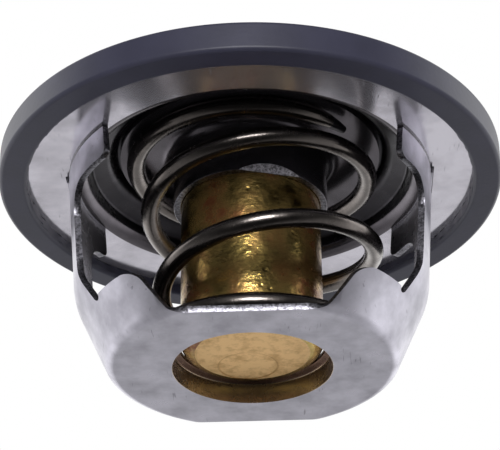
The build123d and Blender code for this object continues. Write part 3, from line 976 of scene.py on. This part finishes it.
def bridge_strip(sizes, flange_top, foot_end, leg):
    """The sheet bent up from its feet to the flat top, and trimmed to its plan."""
    leg_top, leg_draft, top_end = flange_top + 4.4 * MM, 0.7 * MM, 7.0 * MM
    half = [
        (foot_end, flange_top),
        (leg, flange_top),
        (leg - leg_draft, leg_top),
        (top_end, sizes.bridge_apex),
    ]
    face = [(-along, up) for along, up in half] + half[::-1]
    bends = mm(1.6, 6.0, 4.0)
    outline, radii = sheet_outline(face, bends + bends[::-1], sizes.bridge_sheet)
    bridge = draw_line("upper_bridge_strip", outline, radii, plane=sideways, arc=12)
    raise_outline(bridge, Vector((7.6 * MM, 0, 0)))
    coat(bridge, "tumbled_stainless")
    plan = bridge_plan(foot_end, leg - leg_draft)
    corners, radii = [spot[:2] for spot in plan], [spot[2] for spot in plan]
    trim = draw_line("bridge_trim", corners, radii, plane=flat)
    raise_outline(trim, Vector((0, 0, 50 * MM)))
    cut_with(bridge, trim, operation="INTERSECT")
    return bridge


def bridge_welds(bridge, foot_top):
    """Two shallow dents in each foot, left by the welding electrodes."""
    between, from_axis = mm(3.2, 21.8)
    ball = {"segments": 32, "ring_count": 16, "radius": 1.3 * MM, "scale": (1, 1, 0.16)}
    for along in (-between, between):
        for deep in (-from_axis, from_axis):
            ball["location"] = (along, deep, foot_top)
            electrode = shaped(bpy.ops.mesh.primitive_uv_sphere_add, **ball)
            cut_with(bridge, electrode, "tumbled_stainless")


def bridge_socket(bridge, apex):
    """The piston's socket, which is pressed up from the strip and so is open below."""
    bore, outside, skirt = mm(2.05, 3.05, 4.0)
    roof, top = apex + 2.4 * MM, apex + 3.4 * MM
    section = [
        (bore, apex + 0.02 * MM), (skirt, apex + 0.9 * MM), (outside, apex + 0.95 * MM),
        (outside, top), (0, top), (0, roof), (bore, roof),
    ]
    radii = mm(0, 0, 0.35, 0.8, 0, 0, 0.3)
    cap = turned("socket", section, radii, ["tumbled_stainless"], ROD_STEPS)
    middle, depth = (0, 0, apex + 0.5 * MM), 3 * MM
    hole = {"vertices": ROD_STEPS, "radius": bore, "depth": depth, "location": middle}
    drill = shaped(bpy.ops.mesh.primitive_cylinder_add, **hole)
    cut_with(bridge, drill, "tumbled_stainless")
    join(bridge, cap)


class VALVE_OT_upper_bridge(bpy.types.Operator):
    """Bend the strip, trim its plan, and add the piston's socket and the spot welds"""

    bl_idname = "valve.upper_bridge"
    bl_label = "Upper bridge"

    def execute(self, context):
        sizes = context.scene.valve_sizes
        flange_top = sizes.flange_low + sizes.flange_sheet
        foot_end = sizes.seal_inner - 0.7 * MM
        leg = sizes.step_radius + sizes.flange_sheet + 0.8 * MM
        bridge = bridge_strip(sizes, flange_top, foot_end, leg)
        bridge_welds(bridge, flange_top + sizes.bridge_sheet)
        break_edges(bridge, 0.07 * MM, angle=40)
        bridge_socket(bridge, sizes.bridge_apex)
        hand_over(bridge, "housing", "cage_steel", "upper_bridge")
        return {"FINISHED"}


class VALVE_OT_inner_pieces(bpy.types.Operator):
    """Give the sealed pieces inside the element their own finishes"""

    bl_idname = "valve.inner_pieces"
    bl_label = "Inner pieces"

    def execute(self, context):
        coat(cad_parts["rubber_sleeve"], "sleeve_rubber")
        coat(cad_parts["wax_charge"], "copper_filled_wax")
        coat(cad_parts["backup_washer"], "skived_plastic")
        return {"FINISHED"}


def stage_floor():
    """A pale floor under the foot, clear from below so that a low camera looks past it."""
    just_under = (0, 0, -0.02 * MM)
    floor = shaped(bpy.ops.mesh.primitive_plane_add, size=3.0, location=just_under)
    floor.name = "floor"
    material = bpy.data.materials.new("pale_floor")
    tree = emptied(material)
    matt = add(tree, "BsdfDiffuse", {"Color": (0.9, 0.9, 0.91, 1)})
    clear = add(tree, "BsdfTransparent")
    path = add(tree, "LightPath").outputs
    passing = add(tree, "NewGeometry").outputs["Backfacing"]
    for ray in ("Is Shadow Ray", "Is Glossy Ray"):
        passing = add(tree, "Math", {0: passing, 1: path[ray]}, operation="MAXIMUM")
    mix = add(tree, "MixShader", {0: passing, 1: matt, 2: clear})
    add(tree, "OutputMaterial", {"Surface": mix})
    floor.data.materials.append(material)


def stage_world():
    """The world: white behind the object, and a light tent for whatever mirrors it.

    The tent is bright at both sides and above the front, grey below, and dark round the low
    front, as a dark room beyond a light tent is.
    """
    world = bpy.data.worlds.new("light_tent")
    bpy.context.scene.world = world
    tree = emptied(world)
    heading = add(tree, "TexCoord").outputs["Generated"]
    path = add(tree, "LightPath").outputs

    def lobe(direction, inner, outer, value):
        """A soft patch of light towards a direction, between two angles in degrees."""
        aim = {0: heading, 1: Vector(direction).normalized()}
        fade = {
            "Value": add(tree, "VectorMath", aim, operation="DOT_PRODUCT"),
            "From Min": math.cos(math.radians(outer)),
            "From Max": math.cos(math.radians(inner)),
            "To Max": value,
        }
        return add(tree, "MapRange", fade, interpolation_type="SMOOTHSTEP")

    glow = 0.1
    for patch in (
        lobe((-0.75, 0.62, 0.15), 25, 55, 1.2),
        lobe((0.75, 0.62, 0.15), 25, 55, 1.2),
        lobe((-0.85, 0.2, 0.55), 8, 30, 1.2),
        lobe((0.85, 0.2, 0.55), 8, 30, 1.2),
        lobe((-0.8, 0.1, -0.6), 15, 55, 0.4),
        lobe((0.8, 0.1, -0.6), 15, 55, 0.4),
        lobe((0, 0.9, -0.35), 15, 55, 0.6),
        lobe((0, -0.85, 0.53), 6, 30, 0.5),
    ):
        glow = add(tree, "Math", {0: glow, 1: patch}, operation="ADD")
    dark = lobe((0, -0.9, -0.44), 30, 70, 0.85)
    keep = add(tree, "Math", {0: 1.0, 1: dark}, operation="SUBTRACT")
    shine = add(tree, "Math", {0: glow, 1: keep}, operation="MULTIPLY")
    tone = add(tree, "CombineColor", {0: shine, 1: shine, 2: shine})
    tent = add(tree, "Background", {"Color": tone})
    soft = add(tree, "Background", {"Color": (0.6, 0.6, 0.62, 1)})
    white = add(tree, "Background", {"Color": (1, 1, 1, 1)})
    shiny = add(tree, "MixShader", {0: path["Is Glossy Ray"], 1: soft, 2: tent})
    straight = {0: path["Is Camera Ray"], 1: path["Is Transmission Ray"]}
    seen = add(tree, "Math", straight, operation="MAXIMUM")
    final = add(tree, "MixShader", {0: seen, 1: shiny, 2: white})
    add(tree, "OutputWorld", {"Surface": final})


def stage_lamp(name, place, size, power):
    """A soft square lamp aimed at the middle of the cage."""
    target = Vector((0, 0, 0.02))
    lay_aside()
    bpy.ops.object.light_add(type="AREA", location=place)
    lamp = bpy.context.object
    lamp.name = name
    lamp.data.shape = "SQUARE"
    lamp.data.size = size
    lamp.data.energy = power
    lamp.rotation_euler = (target - Vector(place)).to_track_quat("-Z", "Y").to_euler()


def stage_camera():
    """A long lens held low in front, looking up at the underside."""
    place = (5.08 * MM, -176.92 * MM, -85.65 * MM)
    yaw, pitch, roll = -0.0292, 0.5259, -0.01296
    level = math.cos(pitch)
    ahead = Vector((math.sin(yaw) * level, math.cos(yaw) * level, math.sin(pitch)))
    level_right = ahead.cross(Vector((0, 0, 1))).normalized()
    level_up = level_right.cross(ahead)
    right = level_right * math.cos(roll) + level_up * math.sin(roll)
    up = level_up * math.cos(roll) - level_right * math.sin(roll)
    lay_aside()
    bpy.ops.object.camera_add(location=place)
    camera = bpy.context.object
    pose = Matrix((right, up, -ahead)).transposed().to_4x4()
    pose.translation = camera.location
    camera.matrix_world = pose
    camera.data.lens = 137.67
    camera.data.clip_start = 0.01
    camera.data.clip_end = 10.0
    bpy.context.scene.camera = camera


class VALVE_OT_stage(bpy.types.Operator):
    """Set the floor, the soft lights, the pale surroundings and the camera"""

    bl_idname = "valve.stage"
    bl_label = "Stage"

    def execute(self, context):
        context.scene.view_settings.view_transform = "Standard"
        stage_floor()
        stage_world()
        stage_lamp("key_lamp", (0, -0.5, 0.08), size=0.18, power=2.0)
        stage_lamp("rim_lamp", (0, -0.47, 0.17), size=0.05, power=0.15)
        stage_camera()
        return {"FINISHED"}


STEPS = (
    VALVE_OT_stage,
    VALVE_OT_flange,
    VALVE_OT_seal_ring,
    VALVE_OT_lower_cage,
    VALVE_OT_valve_disc,
    VALVE_OT_wax_element,
    VALVE_OT_piston,
    VALVE_OT_main_spring,
    VALVE_OT_upper_bridge,
    VALVE_OT_inner_pieces,
)


class VALVE_PT_pieces(bpy.types.Panel):
    """Lists the pieces in the order in which they are made"""

    bl_label = "Coolant Valve"
    bl_idname = "VALVE_PT_pieces"
    bl_space_type = "VIEW_3D"
    bl_region_type = "UI"
    bl_category = "Coolant Valve"

    def draw(self, context):
        for group in (context.scene.valve_sizes, context.scene.valve_finish):
            box = self.layout.box()
            for name in group.__annotations__:
                box.prop(group, name)
        for step in STEPS:
            self.layout.operator(step.bl_idname)


CLASSES = (ValveSizes, ValveFinish, *STEPS, VALVE_PT_pieces)


def register():
    for kind in CLASSES:
        bpy.utils.register_class(kind)
    bpy.types.Scene.valve_sizes = PointerProperty(type=ValveSizes)
    bpy.types.Scene.valve_finish = PointerProperty(type=ValveFinish)


def unregister():
    del bpy.types.Scene.valve_finish
    del bpy.types.Scene.valve_sizes
    for kind in reversed(CLASSES):
        bpy.utils.unregister_class(kind)


def main():
    register()
    bpy.ops.valve.stage()
    bpy.ops.valve.flange()
    bpy.ops.valve.seal_ring()
    bpy.ops.valve.lower_cage()
    bpy.ops.valve.valve_disc()
    bpy.ops.valve.wax_element()
    bpy.ops.valve.piston()
    bpy.ops.valve.main_spring()
    bpy.ops.valve.upper_bridge()
    bpy.ops.valve.inner_pieces()


if __name__ == "__main__":
    main()
